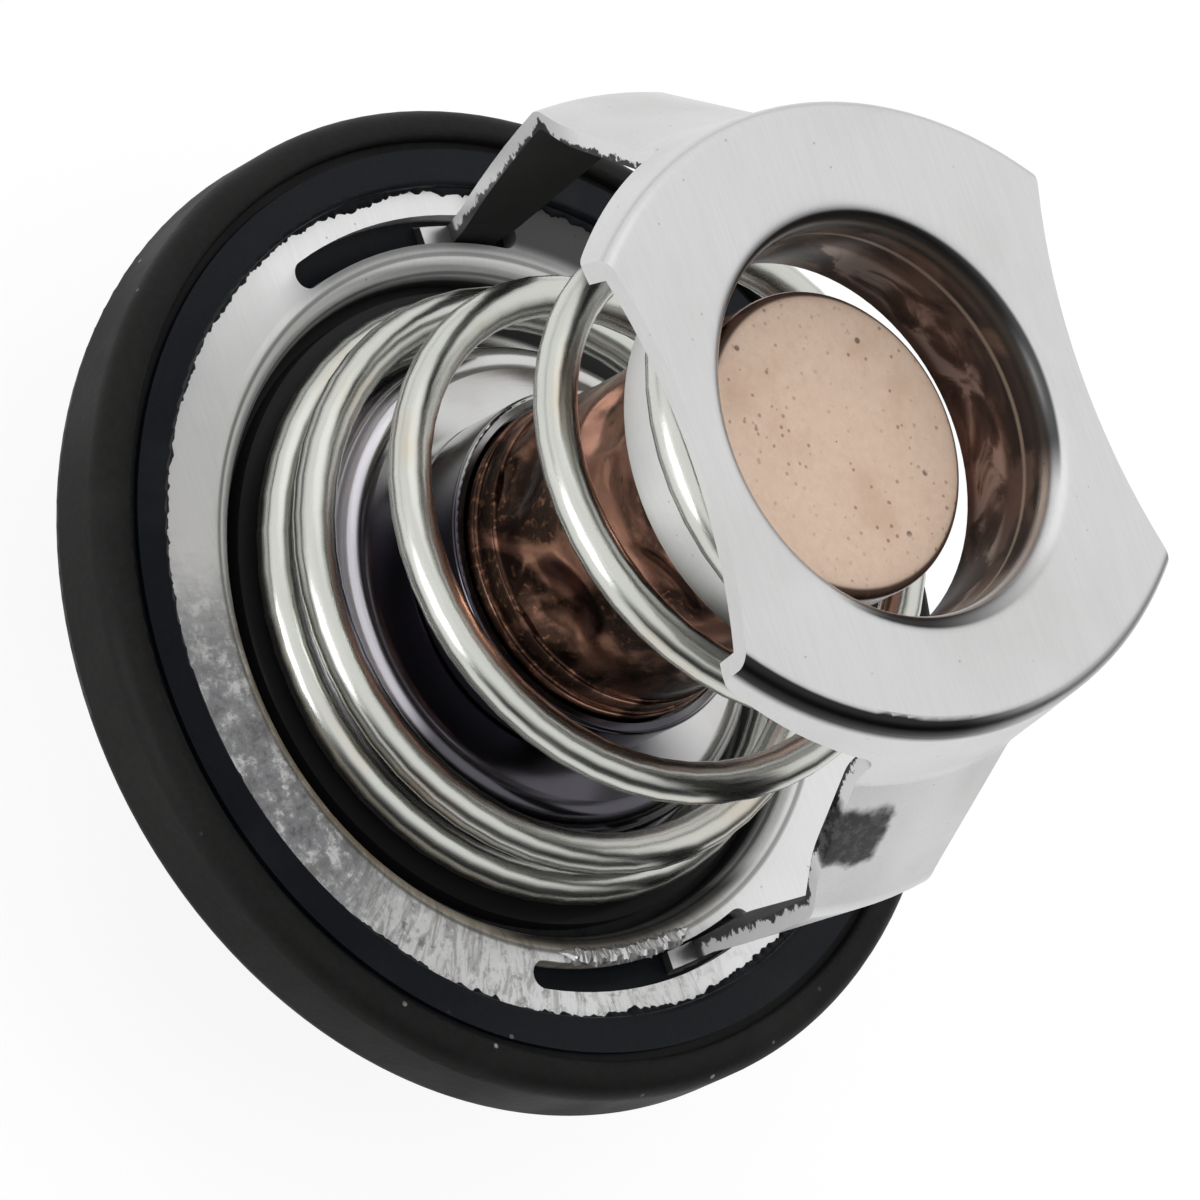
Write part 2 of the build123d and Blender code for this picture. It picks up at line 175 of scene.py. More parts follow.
class Graph:
    """Builds one material or world out of short calls, each returning a socket."""

    def __init__(self, owner):
        owner.use_nodes = True
        self.tree = owner.node_tree
        self.place = self.add("TexCoord").outputs["Object"]

    def add(self, kind, **settings):
        node = self.tree.nodes.new("ShaderNode" + kind)
        for name, value in settings.items():
            setattr(node, name, value)
        return node

    def fill(self, node, values):
        for socket, value in zip(node.inputs, values):
            put(self.tree, socket, value)

    # Numbers
    def math(self, operation, *values):
        node = self.add("Math", operation=operation)
        self.fill(node, values)
        return node.outputs[0]

    def sum(self, first, second):
        return self.math("ADD", first, second)

    def minus(self, first, second):
        return self.math("SUBTRACT", first, second)

    def product(self, *values):
        result = values[0]
        for value in values[1:]:
            result = self.math("MULTIPLY", result, value)
        return result

    def strongest(self, *values):
        result = values[0]
        for value in values[1:]:
            result = self.math("MAXIMUM", result, value)
        return result

    def ramp(self, value, low, high, to_low=0.0, to_high=1.0):
        """A smooth step from to_low to to_high, while the value goes from low to high."""
        node = self.add("MapRange", interpolation_type="SMOOTHSTEP")
        self.fill(node, (value, low, high, to_low, to_high))
        return node.outputs["Result"]

    def within(self, value, low, high, blur):
        """1 between low and high, fading to 0 over the blur."""
        rise = self.ramp(value, low - blur, low + blur)
        return self.product(rise, self.ramp(value, high + blur, high - blur))

    def fade(self, length, start, end, to_low=0.0, to_high=1.0):
        """A ramp between two lengths in millimetres."""
        return self.ramp(length, start * MM, end * MM, to_low, to_high)

    def band(self, length, low, high, blur):
        """1 between two lengths in millimetres."""
        return self.within(length, low * MM, high * MM, blur * MM)

    # Places and directions
    def vector(self, operation, *values):
        node = self.add("VectorMath", operation=operation)
        self.fill(node, values)
        return node.outputs["Value" if operation in ("LENGTH", "DOT_PRODUCT") else "Vector"]

    def parts(self, vector=None):
        node = self.add("SeparateXYZ")
        put(self.tree, node.inputs[0], vector or self.place)
        return node.outputs

    def join(self, x, y, z):
        node = self.add("CombineXYZ")
        self.fill(node, (x, y, z))
        return node.outputs[0]

    def normal(self):
        return self.add("NewGeometry").outputs["Normal"]

    def radius(self):
        return self.vector("LENGTH", self.vector("MULTIPLY", self.place, (1, 1, 0)))

    def outward(self):
        return self.vector("NORMALIZE", self.vector("MULTIPLY", self.place, (1, 1, 0)))

    def towards(self, x, y):
        """1 on the side of the main axis that this direction names, -1 on the other."""
        return self.vector("DOT_PRODUCT", self.outward(), (x, y, 0))

    def facing_axis(self):
        """-1 where the surface looks at the main axis, 1 where it looks away from it."""
        return self.vector("DOT_PRODUCT", self.outward(), self.normal())

    def around(self, turns, along):
        """Coordinates round the main axis without a seam, with their own coordinate along."""
        x, y, _ = self.parts(self.outward())
        return self.join(self.product(x, turns), self.product(y, turns), along)

    # Patterns
    def noise(self, vector=None, scale=1.0, detail=3.0, roughness=0.5, distortion=0.0):
        node = self.add("TexNoise")
        put(self.tree, node.inputs["Vector"], vector or self.place)
        put(self.tree, node.inputs["Scale"], scale)
        put(self.tree, node.inputs["Detail"], detail)
        put(self.tree, node.inputs["Roughness"], roughness)
        put(self.tree, node.inputs["Distortion"], distortion)
        return node.outputs["Fac"]

    def rings(self, scale, detail):
        """Fine turned rings about the main axis."""
        return self.noise(self.join(self.product(self.radius(), scale), 0, 0), detail=detail)

    def dots(self, scale, size):
        """1 in small scattered dots, 0 elsewhere."""
        node = self.add("TexVoronoi")
        put(self.tree, node.inputs["Vector"], self.place)
        put(self.tree, node.inputs["Scale"], scale)
        return self.ramp(node.outputs["Distance"], size, size * 0.5)

    def ragged(self, reach, scale, detail, roughness=0.5):
        """An uneven offset, up to half the reach in millimetres either way."""
        centred = self.minus(self.noise(scale=scale, detail=detail, roughness=roughness), 0.5)
        return self.product(centred, reach * MM)

    # Colours and the shader
    def mix(self, factor, first, second):
        node = self.add("Mix", data_type="RGBA")
        put(self.tree, node.inputs["Factor"], factor)
        put(self.tree, node.inputs[6], first)
        put(self.tree, node.inputs[7], second)
        return node.outputs[2]

    def paint(self, under, over, mask, strength):
        """The second colour laid over the first where the mask is, this strongly."""
        return self.mix(self.product(mask, strength), under, over)

    def bump(self, height, distance, strength):
        """A bumped normal, with the distance in millimetres."""
        node = self.add("Bump")
        put(self.tree, node.inputs["Height"], height)
        put(self.tree, node.inputs["Distance"], distance * MM)
        put(self.tree, node.inputs["Strength"], strength)
        return node.outputs["Normal"]

    def finish(self, **inputs):
        shader = self.tree.nodes["Principled BSDF"]
        for name, value in inputs.items():
            put(self.tree, shader.inputs[name.replace("_", " ")], value)


# ---- Materials
def rubber():
    """Moulded rubber: dull bead outside, smoother blue-black band inside the moulded line."""
    material = bpy.data.materials.new("seal_rubber")
    g = Graph(material)
    grain = g.noise(scale=2600, detail=5, roughness=0.6)
    patches = g.noise(scale=160, detail=3)
    specks = g.product(g.dots(520, 0.10), g.ramp(g.noise(scale=90), 0.55, 0.62))
    band = g.fade(g.radius(), MOULDED_LINE_R, MOULDED_LINE_R - 0.3)
    bead_colour = g.mix(grain, grey(0.003, 0.05), grey(0.012, 0.05))
    band_colour = g.mix(grain, (0.002, 0.003, 0.005, 1), (0.006, 0.008, 0.012, 1))
    colour = g.mix(band, bead_colour, band_colour)
    colour = g.mix(g.ramp(patches, 0.5, 0.75, 0, 0.2), colour, grey(0.04))
    colour = g.mix(specks, colour, grey(0.30))
    uneven = g.ramp(patches, 0.3, 0.7, -0.06, 0.08)
    g.finish(
        Base_Color=colour,
        Roughness=g.sum(g.ramp(band, 0, 1, 0.56, 0.42), uneven),
        Specular_IOR_Level=0.14,
        Normal=g.bump(g.sum(grain, g.rings(1300, 1)), 0.03, 0.7),
    )
    return material


def brushed_steel(name, along, tone, roughness, wear_and_shade=None):
    """Satin sheet steel with fine streaks along one axis, soft stains and small marks."""
    across_scale, along_scale = 5200, 260
    material = bpy.data.materials.new(name)
    g = Graph(material)
    stretch = [along_scale if axis == along else across_scale for axis in "XYZ"]
    streaks = g.noise(g.vector("MULTIPLY", g.place, stretch), detail=4, roughness=0.65)
    cloud = g.noise(scale=120, detail=4)
    colour = g.mix(g.ramp(streaks, 0.3, 0.7), grey(tone * 0.97), grey(tone * 1.02))
    colour = g.mix(g.ramp(cloud, 0.45, 0.75, 0, 0.30), colour, grey(tone * 0.82, 0.02))
    colour = g.paint(colour, grey(tone * 0.35), g.dots(700, 0.07), 0.5)
    rough = g.ramp(cloud, 0.3, 0.7, roughness - 0.04, roughness + 0.07)
    metallic, shine = 1.0, 0.5
    # A wear function adds wear and painted shade.
    if wear_and_shade:
        colour, rough, metallic = wear_and_shade(g, colour, rough)
        shine = g.product(metallic, 0.5)
    g.finish(
        Base_Color=colour,
        Metallic=metallic,
        Roughness=rough,
        Specular_IOR_Level=shine,
        Normal=g.bump(streaks, 0.006, 0.5),
    )
    return material


def flange_wear_and_shade(g, colour, rough):
    """Tarnish and smears on one side, drawing lines at the recess, and painted shade, near black, inside
    the recess, beside both slots and behind the upper leg.
    """
    blue_tarnish = (0.17, 0.18, 0.20, 1)
    straw = (0.48, 0.36, 0.20, 1)
    radius = g.radius()
    smear_place = g.around(30, g.product(radius, 300))
    smear = g.noise(smear_place, detail=6, roughness=0.75, distortion=1.2)
    blots = g.noise(scale=700, detail=6, roughness=0.75)
    worn_side = g.ramp(g.towards(-0.72, 0.69), 0.30, 0.95)
    tarnished_side = g.ramp(g.towards(-0.25, 0.97), 0.84, 0.97)
    tarnish = g.product(tarnished_side, g.ramp(blots, 0.40, 0.52, 0.35, 0.75))
    colour = g.mix(tarnish, colour, blue_tarnish)
    colour = g.paint(colour, grey(0.24, 0.03), g.product(worn_side, g.ramp(smear, 0.47, 0.60)), 0.55)
    colour = g.paint(colour, grey(0.13, 0.03), g.product(worn_side, g.ramp(blots, 0.53, 0.66)), 0.7)
    colour = g.paint(colour, grey(0.92), g.product(worn_side, g.ramp(blots, 0.45, 0.36)), 0.7)
    bend = g.band(g.parts()[2], FLANGE_TOP - 0.75, FLANGE_TOP - 0.15, 0.12)
    colour = g.paint(colour, straw, g.product(bend, worn_side), 0.6)
    drawn_band = g.band(radius, RECESS_R + 0.2, RECESS_R + 1.5, 0.15)
    drawing_lines = g.product(drawn_band, g.ramp(g.rings(2400, 2), 0.50, 0.58))
    colour = g.paint(colour, grey(0.10, 0.1), drawing_lines, 0.65)
    # Painted shade: near black and less metallic where the flange lies in shade.
    black = flange_painted_shade(g)
    colour = g.mix(black, colour, grey(0.012))
    rough = g.sum(rough, g.product(worn_side, 0.22))
    return colour, rough, g.ramp(black, 0.3, 1.0, 0.6, 0.03)


def flange_painted_shade(g):
    """Painted shade on the flange, near black: inside its recess, beside both slots and behind the upper
    leg.
    """
    x, y, height = g.parts()
    radius = g.radius()
    recess = g.fade(height, FLANGE_TOP - 0.7, FLANGE_TOP - 1.3)
    beside_low_slot = g.product(
        g.fade(x, -16.5, -17.8),
        g.fade(radius, SLOT_INNER_R - 0.6, SLOT_INNER_R - 1.3),
    )
    beside_high_slot = g.product(
        g.fade(x, 10, 19),
        g.fade(y, 10, 5),
        g.band(radius, SLOT_INNER_R - 0.5, SLOT_INNER_R + 1.2, 0.4),
    )
    behind_leg = g.product(
        g.fade(x, 9, 16),
        g.fade(y, -4, -8),
        g.fade(radius, SLOT_INNER_R - 1.2, SLOT_INNER_R + 0.6),
    )
    return g.strongest(
        g.product(beside_low_slot, 0.9),
        g.product(beside_high_slot, 0.7),
        g.product(behind_leg, 0.92),
        g.product(recess, 0.97),
    )


def frame_wear_and_shade(g, colour, rough):
    """Painted shade on the inner faces, the collar's edge and the lower bend; cut edges with painted light
    and shade; a painted reflection in the collar bore; one dark patch on a shoulder.
    """
    inward = g.ramp(g.facing_axis(), -0.2, -0.55)
    inner_face_shade = g.product(inward, g.fade(g.radius(), COLLAR_OUTER_R + 0.3, COLLAR_OUTER_R + 1.8))
    cut, cut_colour = cut_edges(g)
    bore, bore_colour = collar_bore(g, inward)
    dark_patch, dark_patch_colour = shoulder_dark_patch(g)
    colour = g.mix(cut, colour, cut_colour)
    # Painted shade: the inner faces near black.
    colour = g.paint(colour, grey(0.010), inner_face_shade, 0.97)
    colour = g.paint(colour, bore_colour, bore, 0.95)
    colour = g.paint(colour, grey(0.02), collar_edge_shade(g), 0.9)
    colour = g.paint(colour, grey(0.008), lower_bend_shade(g), 0.97)
    colour = g.paint(colour, dark_patch_colour, dark_patch, 0.97)
    rough = g.minus(rough, g.product(bore, 0.14))
    metallic = g.ramp(inner_face_shade, 0, 1, 1.0, 0.03)
    for mask, loss in ((cut, 0.7), (bore, 0.45), (dark_patch, 0.6)):
        metallic = g.minus(metallic, g.product(mask, loss))
    return colour, rough, g.strongest(metallic, 0.0)


def cut_edges(g):
    """The strap's cut edges: pale next to the outer face, bare steel lightened to stand in for the light
    on it; painted shade, near black, below a ragged line and at the foot.
    """
    x, _, height = g.parts()
    _, _, upward = g.parts(g.normal())
    edges = g.product(
        g.within(g.facing_axis(), -0.42, 0.42, 0.06),
        g.ramp(upward, 0.75, 0.6),
        g.fade(height, FRAME_TOP - 3, FRAME_TOP - 5),
    )
    out = g.math("ABSOLUTE", x)
    out_share, up_share = SHOULDER_NORMAL
    shoulder_face = g.sum(g.product(out, out_share), g.product(height, up_share))
    shoulder_depth = g.minus(SHOULDER_PLANE * MM, shoulder_face)
    leg_face = g.sum(g.product(height, LEG_LEAN), LEG_FOOT_X * MM)
    leg_depth = g.minus(leg_face, out)
    above_knee = g.fade(height, *KNEE_HEIGHT)
    depth = g.sum(g.product(shoulder_depth, above_knee), g.product(leg_depth, g.minus(1, above_knee)))
    # Pale steel lightened as painted light, with painted shade below the ragged line along the edge's
    # inner side.
    torn = g.fade(g.sum(depth, g.ragged(1.8, scale=1000, detail=5, roughness=0.7)), 0.62, 0.74)
    colour = g.paint(grey(0.80), grey(0.015), torn, 0.95)
    # Painted shade where the leg meets the flange.
    foot_shade = g.fade(height, FLANGE_TOP + 0.8, FLANGE_TOP + 0.2)
    return edges, g.mix(foot_shade, colour, grey(0.04))


def collar_bore(g, inward):
    """The collar's bore: a painted reflection of the copper in brown bands, painted glints, and a painted
    highlight line where the roll ends.
    """
    dark_brown, brown = (0.035, 0.022, 0.018, 1), (0.20, 0.125, 0.095, 1)
    glint, highlight_line = (0.62, 0.50, 0.44, 1), (0.60, 0.48, 0.38, 1)
    height = g.parts()[2]
    bore = g.product(
        inward,
        g.fade(g.radius(), COLLAR_OUTER_R + 0.3, COLLAR_OUTER_R - 0.5),
        g.fade(height, FRAME_TOP - 1.2, FRAME_TOP - 1.7),
    )
    bands = g.noise(g.around(3.0, g.product(height, 420)), detail=5, distortion=0.7)
    below_top = g.minus(FRAME_TOP * MM, height)
    # Painted reflection of the copper capsule, in brown bands.
    colour = g.mix(g.ramp(bands, 0.36, 0.62), dark_brown, brown)
    glints = g.product(g.band(below_top, 4.4, 7.0, 0.3), g.ramp(bands, 0.50, 0.60))
    colour = g.paint(colour, glint, glints, 0.85)
    colour = g.paint(colour, highlight_line, g.band(below_top, 2.7, 2.95, 0.10), 0.85)
    return bore, colour


def collar_edge_shade(g):
    """Painted shade: a dark line along one side of the bore's rolled edge."""
    return g.product(
        g.ramp(g.towards(0.85, -0.5), -0.05, 0.25),
        g.band(g.radius(), COLLAR_BORE_R - 0.2, COLLAR_BORE_R + 0.45, 0.08),
        g.fade(g.parts()[2], FRAME_TOP - 2.0, FRAME_TOP - 1.5),
    )


def lower_bend_shade(g):
    """Painted shade on the pan's rim bend above the lower leg, and on the wall just under it."""
    x, y, height = g.parts()
    nx, _, upward = g.parts(g.normal())
    low_side = g.product(g.fade(x, -8.0, -10.5), g.fade(y, -6.0, 3.0, 0.25, 1))
    bend = g.product(low_side, g.within(upward, 0.57, 0.975, 0.03))
    near_rim = g.fade(height, FRAME_TOP - 1.5, FRAME_TOP - 0.9)
    return g.strongest(bend, g.product(low_side, g.ramp(nx, -0.4, -0.6), near_rim))


def shoulder_dark_patch(g):
    """One ragged dark patch on the lower shoulder."""
    x, y, height = g.parts()
    offset = g.ragged(1.6, scale=700, detail=4)
    dark_patch = g.product(
        g.fade(x, -10, -12),
        g.band(g.sum(y, offset), 1.5, 6.0, 0.3),
        g.band(g.minus(height, offset), 22.8, 26.4, 0.4),
    )
    grit = g.noise(scale=1500, detail=4, roughness=0.7)
    return dark_patch, g.mix(g.ramp(grit, 0.45, 0.62), grey(0.010), grey(0.06))


def turned_steel(name, tone, roughness):
    """Bright pressed steel with fine turned rings; painted shade turns one side violet grey and, on the
    plate, the rim black; a painted highlight lies on a crest.
    """
    violet_grey, pale_violet = (0.035, 0.030, 0.048, 1), (0.82, 0.79, 0.86, 1)
    material = bpy.data.materials.new(name)
    g = Graph(material)
    rings = g.rings(9000, 3)
    cloud = g.noise(scale=150, detail=4)
    rim = g.fade(g.radius(), PLATE_R - 2.7, PLATE_R - 2.1)
    crest_highlight = g.product(
        g.band(g.radius(), PLATE_DOME_R - 0.9, PLATE_DOME_R + 0.6, 0.25),
        g.ramp(g.towards(0.35, 0.94), 0.62, 0.85),
    )
    colour = g.mix(rings, grey(tone * 0.94, 0.01), grey(tone * 1.03))
    colour = g.mix(g.ramp(cloud, 0.5, 0.75, 0, 0.4), colour, grey(tone * 0.7, 0.05))
    # Painted shade on one side, a painted highlight on the crest and painted shade on the rim.
    colour = g.mix(g.ramp(g.towards(-0.56, 0.83), -0.1, 0.55, 0, 0.9), colour, violet_grey)
    colour = g.paint(colour, pale_violet, crest_highlight, 0.9)
    colour = g.paint(colour, grey(0.01), rim, 0.97)
    g.finish(
        Base_Color=colour,
        Metallic=g.ramp(g.strongest(rim, g.product(crest_highlight, 0.5)), 0, 1, 1.0, 0.03),
        Specular_IOR_Level=g.ramp(rim, 0, 1, 0.5, 0.05),
        Roughness=g.ramp(cloud, 0.3, 0.7, roughness, roughness + 0.08),
        Normal=g.bump(rings, 0.004, 0.5),
    )
    return material


def drawn_wire():
    """Bright spring wire with lengthwise drawing lines and straw-coloured patches of painted reflection.
    """
    straw = (0.60, 0.50, 0.38, 1)
    material = bpy.data.materials.new("spring_steel")
    g = Graph(material)
    uv = g.tree.nodes["Texture Coordinate"].outputs["UV"]
    lines = g.noise(g.vector("MULTIPLY", uv, (22, 14, 0)), detail=2)
    golden_reflection = g.noise(g.vector("MULTIPLY", uv, (9, 1.2, 0)), detail=3)
    colour = g.mix(lines, (0.54, 0.55, 0.51, 1), (0.68, 0.69, 0.65, 1))
    g.finish(
        Base_Color=g.mix(g.ramp(golden_reflection, 0.52, 0.72, 0, 0.6), colour, straw),
        Metallic=1.0,
        Roughness=g.ramp(lines, 0.2, 0.8, 0.22, 0.31),
        Normal=g.bump(lines, 0.006, 0.4),
    )
    return material


def copper():
    """Copper capsule: dull pitted end face, dark glossy handled side."""
    material = bpy.data.materials.new("copper")
    g = Graph(material)
    end = g.fade(g.parts()[2], CAPSULE_END - 0.7, CAPSULE_END - 0.1)
    grain = g.noise(scale=2200, detail=5, roughness=0.65)
    cloud = g.noise(scale=260, detail=4)
    pits = g.product(g.dots(620, 0.15), g.ramp(g.noise(scale=330), 0.5, 0.6))
    end_colour = copper_end(g, grain, cloud, pits)
    side_colour = copper_side(g, grain, cloud, pits)
    uneven = g.ramp(cloud, 0.3, 0.7, -0.05, 0.08)
    g.finish(
        Base_Color=g.mix(end, side_colour, end_colour),
        Metallic=g.ramp(end, 0, 1, 1.0, 0.3),
        Roughness=g.sum(g.ramp(end, 0, 1, 0.22, 0.62), uneven),
        Normal=g.bump(grain, 0.02, 0.5),
    )
    return material


def copper_end(g, grain, cloud, pits):
    """Pale end face with stains towards its edge, two sizes of pits and a dark rim."""
    rim_r = CAPSULE_R - 0.55
    worn = g.fade(g.radius(), 5.5, rim_r)
    fine_pits = g.product(g.dots(1500, 0.22), g.ramp(cloud, 0.4, 0.6, 0.3, 1))
    stains = g.ramp(g.noise(scale=1100, detail=6, roughness=0.8), 0.60, 0.70)
    colour = g.mix(grain, (0.66, 0.48, 0.36, 1), (0.86, 0.67, 0.54, 1))
    colour = g.mix(g.ramp(cloud, 0.5, 0.75, 0, 0.45), colour, (0.60, 0.40, 0.28, 1))
    colour = g.paint(colour, (0.42, 0.20, 0.11, 1), stains, g.ramp(worn, 0, 1, 0.35, 0.8))
    colour = g.paint(colour, (0.30, 0.13, 0.07, 1), fine_pits, 0.7)
    colour = g.paint(colour, (0.12, 0.06, 0.04, 1), pits, 0.8)
    return g.paint(colour, (0.07, 0.035, 0.022, 1), g.fade(g.radius(), rim_r, rim_r + 0.2), 0.93)


def copper_side(g, grain, cloud, pits):
    """Brown side with dark patches, reddish grain and pits."""
    dark_patches = g.noise(scale=120, detail=5, distortion=0.8)
    colour = g.mix(g.ramp(cloud, 0.35, 0.7), (0.52, 0.27, 0.19, 1), (0.26, 0.13, 0.10, 1))
    colour = g.mix(g.ramp(dark_patches, 0.46, 0.56, 0, 0.93), colour, (0.022, 0.014, 0.010, 1))
    colour = g.mix(g.ramp(grain, 0.52, 0.7, 0, 0.6), colour, (0.46, 0.22, 0.13, 1))
    return g.paint(colour, (0.06, 0.03, 0.02, 1), pits, 0.6)


def dull(name, dark, light, metallic, roughness, grain_scale=2400):
    """Plain finish with grain and soft stains."""
    material = bpy.data.materials.new(name)
    g = Graph(material)
    grain = g.noise(scale=grain_scale, detail=4)
    cloud = g.noise(scale=300, detail=3)
    g.finish(
        Base_Color=g.mix(g.product(g.sum(grain, cloud), 0.5), dark, light),
        Metallic=metallic,
        Roughness=g.ramp(cloud, 0.3, 0.7, roughness - 0.05, roughness + 0.08),
        Normal=g.bump(grain, 0.015, 0.5),
    )
    return material


DARK_BRASS, LIGHT_BRASS = (0.45, 0.30, 0.12, 1), (0.68, 0.50, 0.24, 1)
DARK_WAX, LIGHT_WAX = (0.30, 0.14, 0.06, 1), (0.42, 0.22, 0.10, 1)
materials = {
    "seal_ring": rubber(),
    "flange": brushed_steel("flange_steel", "X", tone=0.86, roughness=0.32, wear_and_shade=flange_wear_and_shade),
    "lower_frame": brushed_steel("frame_steel", "X", tone=0.66, roughness=0.34, wear_and_shade=frame_wear_and_shade),
    "bridge": brushed_steel("bridge_steel", "Y", tone=0.62, roughness=0.34),
    "piston": dull("pin_steel", grey(0.50), grey(0.66), metallic=1, roughness=0.16),
    "valve_plate": turned_steel("plate_steel", tone=0.62, roughness=0.12),
    "retaining_cup": turned_steel("cup_steel", tone=0.45, roughness=0.14),
    "guide": dull("brass", DARK_BRASS, LIGHT_BRASS, metallic=1, roughness=0.28),
    "wax_pellet": dull("wax", DARK_WAX, LIGHT_WAX, metallic=0, roughness=0.5),
    "diaphragm": dull("inner_rubber", grey(0.02), grey(0.05), metallic=0, roughness=0.6),
    "plug": dull("plug_rubber", grey(0.02), grey(0.05), metallic=0, roughness=0.6),
    "piston_washer": dull("washer_plastic", grey(0.62, 0.04), grey(0.76, 0.03), metallic=0, roughness=0.4),
    "stem_seal": dull("stem_rubber", grey(0.02), grey(0.045), metallic=0, roughness=0.55),
}


def dress_nodes():
    for node_name, material in materials.items():
        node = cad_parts[node_name]
        for slot in node.material_slots:
            slot.material = material


# ---- Meshes
def mesh_piece(name, points, faces, material, uvs=None, sharp=35):
    """A smooth-shaded piece from points in millimetres, with edges over this angle kept sharp."""
    mesh = bpy.data.meshes.new(name)
    mesh.from_pydata([Vector(p) * MM for p in points], [], faces)
    if uvs:
        layer = mesh.uv_layers.new(name="UVMap")
        for loop in mesh.loops:
            layer.data[loop.index].uv = uvs[loop.vertex_index]
    mesh.materials.append(material)
    mesh.shade_smooth()
    mesh.set_sharp_from_angle(angle=math.radians(sharp))
    piece = bpy.data.objects.new(name, mesh)
    bpy.context.collection.objects.link(piece)
    return piece


def tube_faces(rows, corners, closed):
    """Quads between rows of as many corners; an open tube has a face on each end."""
    faces = []
    for row in range(rows if closed else rows - 1):
        start, end = row * corners, (row + 1) % rows * corners
        for corner in range(corners):
            after = (corner + 1) % corners
            faces.append((start + corner, start + after, end + after, end + corner))
    if not closed:
        faces.append(tuple(reversed(range(corners))))
        faces.append(tuple(range((rows - 1) * corners, rows * corners)))
    return faces


def heading_at(angle):
    return Vector((math.cos(angle), math.sin(angle), 0))


def round_axis(heading, section):
    """The section's (radius, height) pairs as points on this side of the main axis."""
    return [(radius * heading.x, radius * heading.y, height) for radius, height in section]


def subdivided(profile, step):
    """The profile's points with long runs cut into even steps."""
    fine = [profile[0]]
    for start, end in zip(profile, profile[1:]):
        cuts = max(1, round(math.dist(start, end) / step))
        for cut in range(1, cuts + 1):
            share = cut / cuts
            fine.append(tuple(a + (b - a) * share for a, b in zip(start, end)))
    return fine


# ---- Main spring
def eased(shares, slopes, turn):
    """A smooth curve through one share per turn, with the given slope at each."""
    index = min(max(math.floor(turn), 0), len(shares) - 2)
    step = min(max(turn - index, 0), 1)
    blend = step**2 * (3 - 2 * step)
    return (
        shares[index] * (1 - blend)
        + shares[index + 1] * blend
        + slopes[index] * step * (1 - step) ** 2
        - slopes[index + 1] * step**2 * (1 - step)
    )


def coil_point(turn):
    heading = heading_at(COIL_START + math.tau * turn)
    radius = COIL_WIDE + (COIL_NARROW - COIL_WIDE) * eased(COIL_TAPER, COIL_TAPER_SLOPES, turn)
    height = COIL_LOW + (COIL_HIGH - COIL_LOW) * eased(COIL_RISE, COIL_RISE_SLOPES, turn)
    return Vector((radius * heading.x, radius * heading.y, height))


def make_spring():
    """The whole coil in smooth wire; it is squeezed against the pan as the valve slides."""
    steps_per_turn = 48
    sides = 20
    nearby = 0.01
    total = LEAD_IN + len(COIL_RISE) - 1 + LEAD_OUT
    steps = round(total * steps_per_turn)
    turns = [index / steps * total - LEAD_IN for index in range(steps + 1)]
    points, uvs = [], []
    for turn in turns:
        centre = coil_point(turn)
        tangent = (coil_point(turn + nearby) - coil_point(turn - nearby)).normalized()
        if turn - nearby < -LEAD_IN or turn + nearby > turns[-1]:
            tangent = Vector((-centre.y, centre.x, 0)).normalized()
        outward = Vector((centre.x, centre.y, 0)).normalized()
        outward = (outward - tangent * outward.dot(tangent)).normalized()
        across = tangent.cross(outward)
        for side in range(sides):
            angle = math.tau * side / sides
            points.append(centre + (outward * math.cos(angle) + across * math.sin(angle)) * WIRE_R)
            uvs.append((turn, abs(side / sides - 0.5) * 2))
    faces = [tuple(reversed(face)) for face in tube_faces(len(turns), sides, closed=False)]
    piece = mesh_piece("spring_wire", points, faces, drawn_wire(), uvs)
    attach(piece, "housing")
    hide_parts("main_spring")
    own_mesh(piece)


# ---- Capsule
def dent_depth(angle, height):
    """How far the capsule's side is pressed in here."""
    depth = 0.0
    for at_angle, at_height, half_angle, half_height, deepest in CAPSULE_DENTS:
        away = (angle - at_angle + 180) % 360 - 180
        reach = math.hypot(away / half_angle, (height - at_height) / half_height)
        if reach < 1:
            depth = max(depth, deepest * (1 - reach**4) ** 2)
    return depth


def step_profile(radius, top, next_r):
    """A step of the skirt: up its side, over a small round and in to the next radius."""
    return [(radius, top - 0.25), (radius - 0.1, top - 0.05), (next_r, top)]


def capsule_profile():
    """The capsule's closed section, from the crimp's bore out, over the end and back inside."""
    skirt_top = CAPSULE_FOOT + SKIRT_HEIGHT
    step_top = skirt_top + SKIRT_STEP_HEIGHT
    centre_r = 0.05
    foot_round = 0.3
    skirt = [(CRIMP_BORE_R, CAPSULE_FOOT), (SKIRT_R - foot_round, CAPSULE_FOOT)]
    skirt += [(SKIRT_R, CAPSULE_FOOT + foot_round)]
    skirt += step_profile(SKIRT_R, skirt_top, CAPSULE_STEP_R)
    skirt += step_profile(CAPSULE_STEP_R, step_top, CAPSULE_R)
    end_arc = []
    for turn in range(0, 91, 15):
        inward = CAPSULE_ROUND * (1 - math.cos(math.radians(turn)))
        down = CAPSULE_ROUND * (1 - math.sin(math.radians(turn)))
        end_arc.append((CAPSULE_R - inward, CAPSULE_END - down))
    side = subdivided([skirt[-1], end_arc[0]], 0.25)
    end_face = subdivided([end_arc[-1], (centre_r, CAPSULE_END)], 0.6)
    under_end = CAPSULE_END - CAPSULE_WALL
    inner_r = CAPSULE_R - CAPSULE_WALL
    inside = [(centre_r, under_end), (inner_r, under_end), (inner_r, step_top), (CRIMP_BORE_R, step_top)]
    return skirt[:-1] + side + end_arc[1:] + end_face[1:] + inside


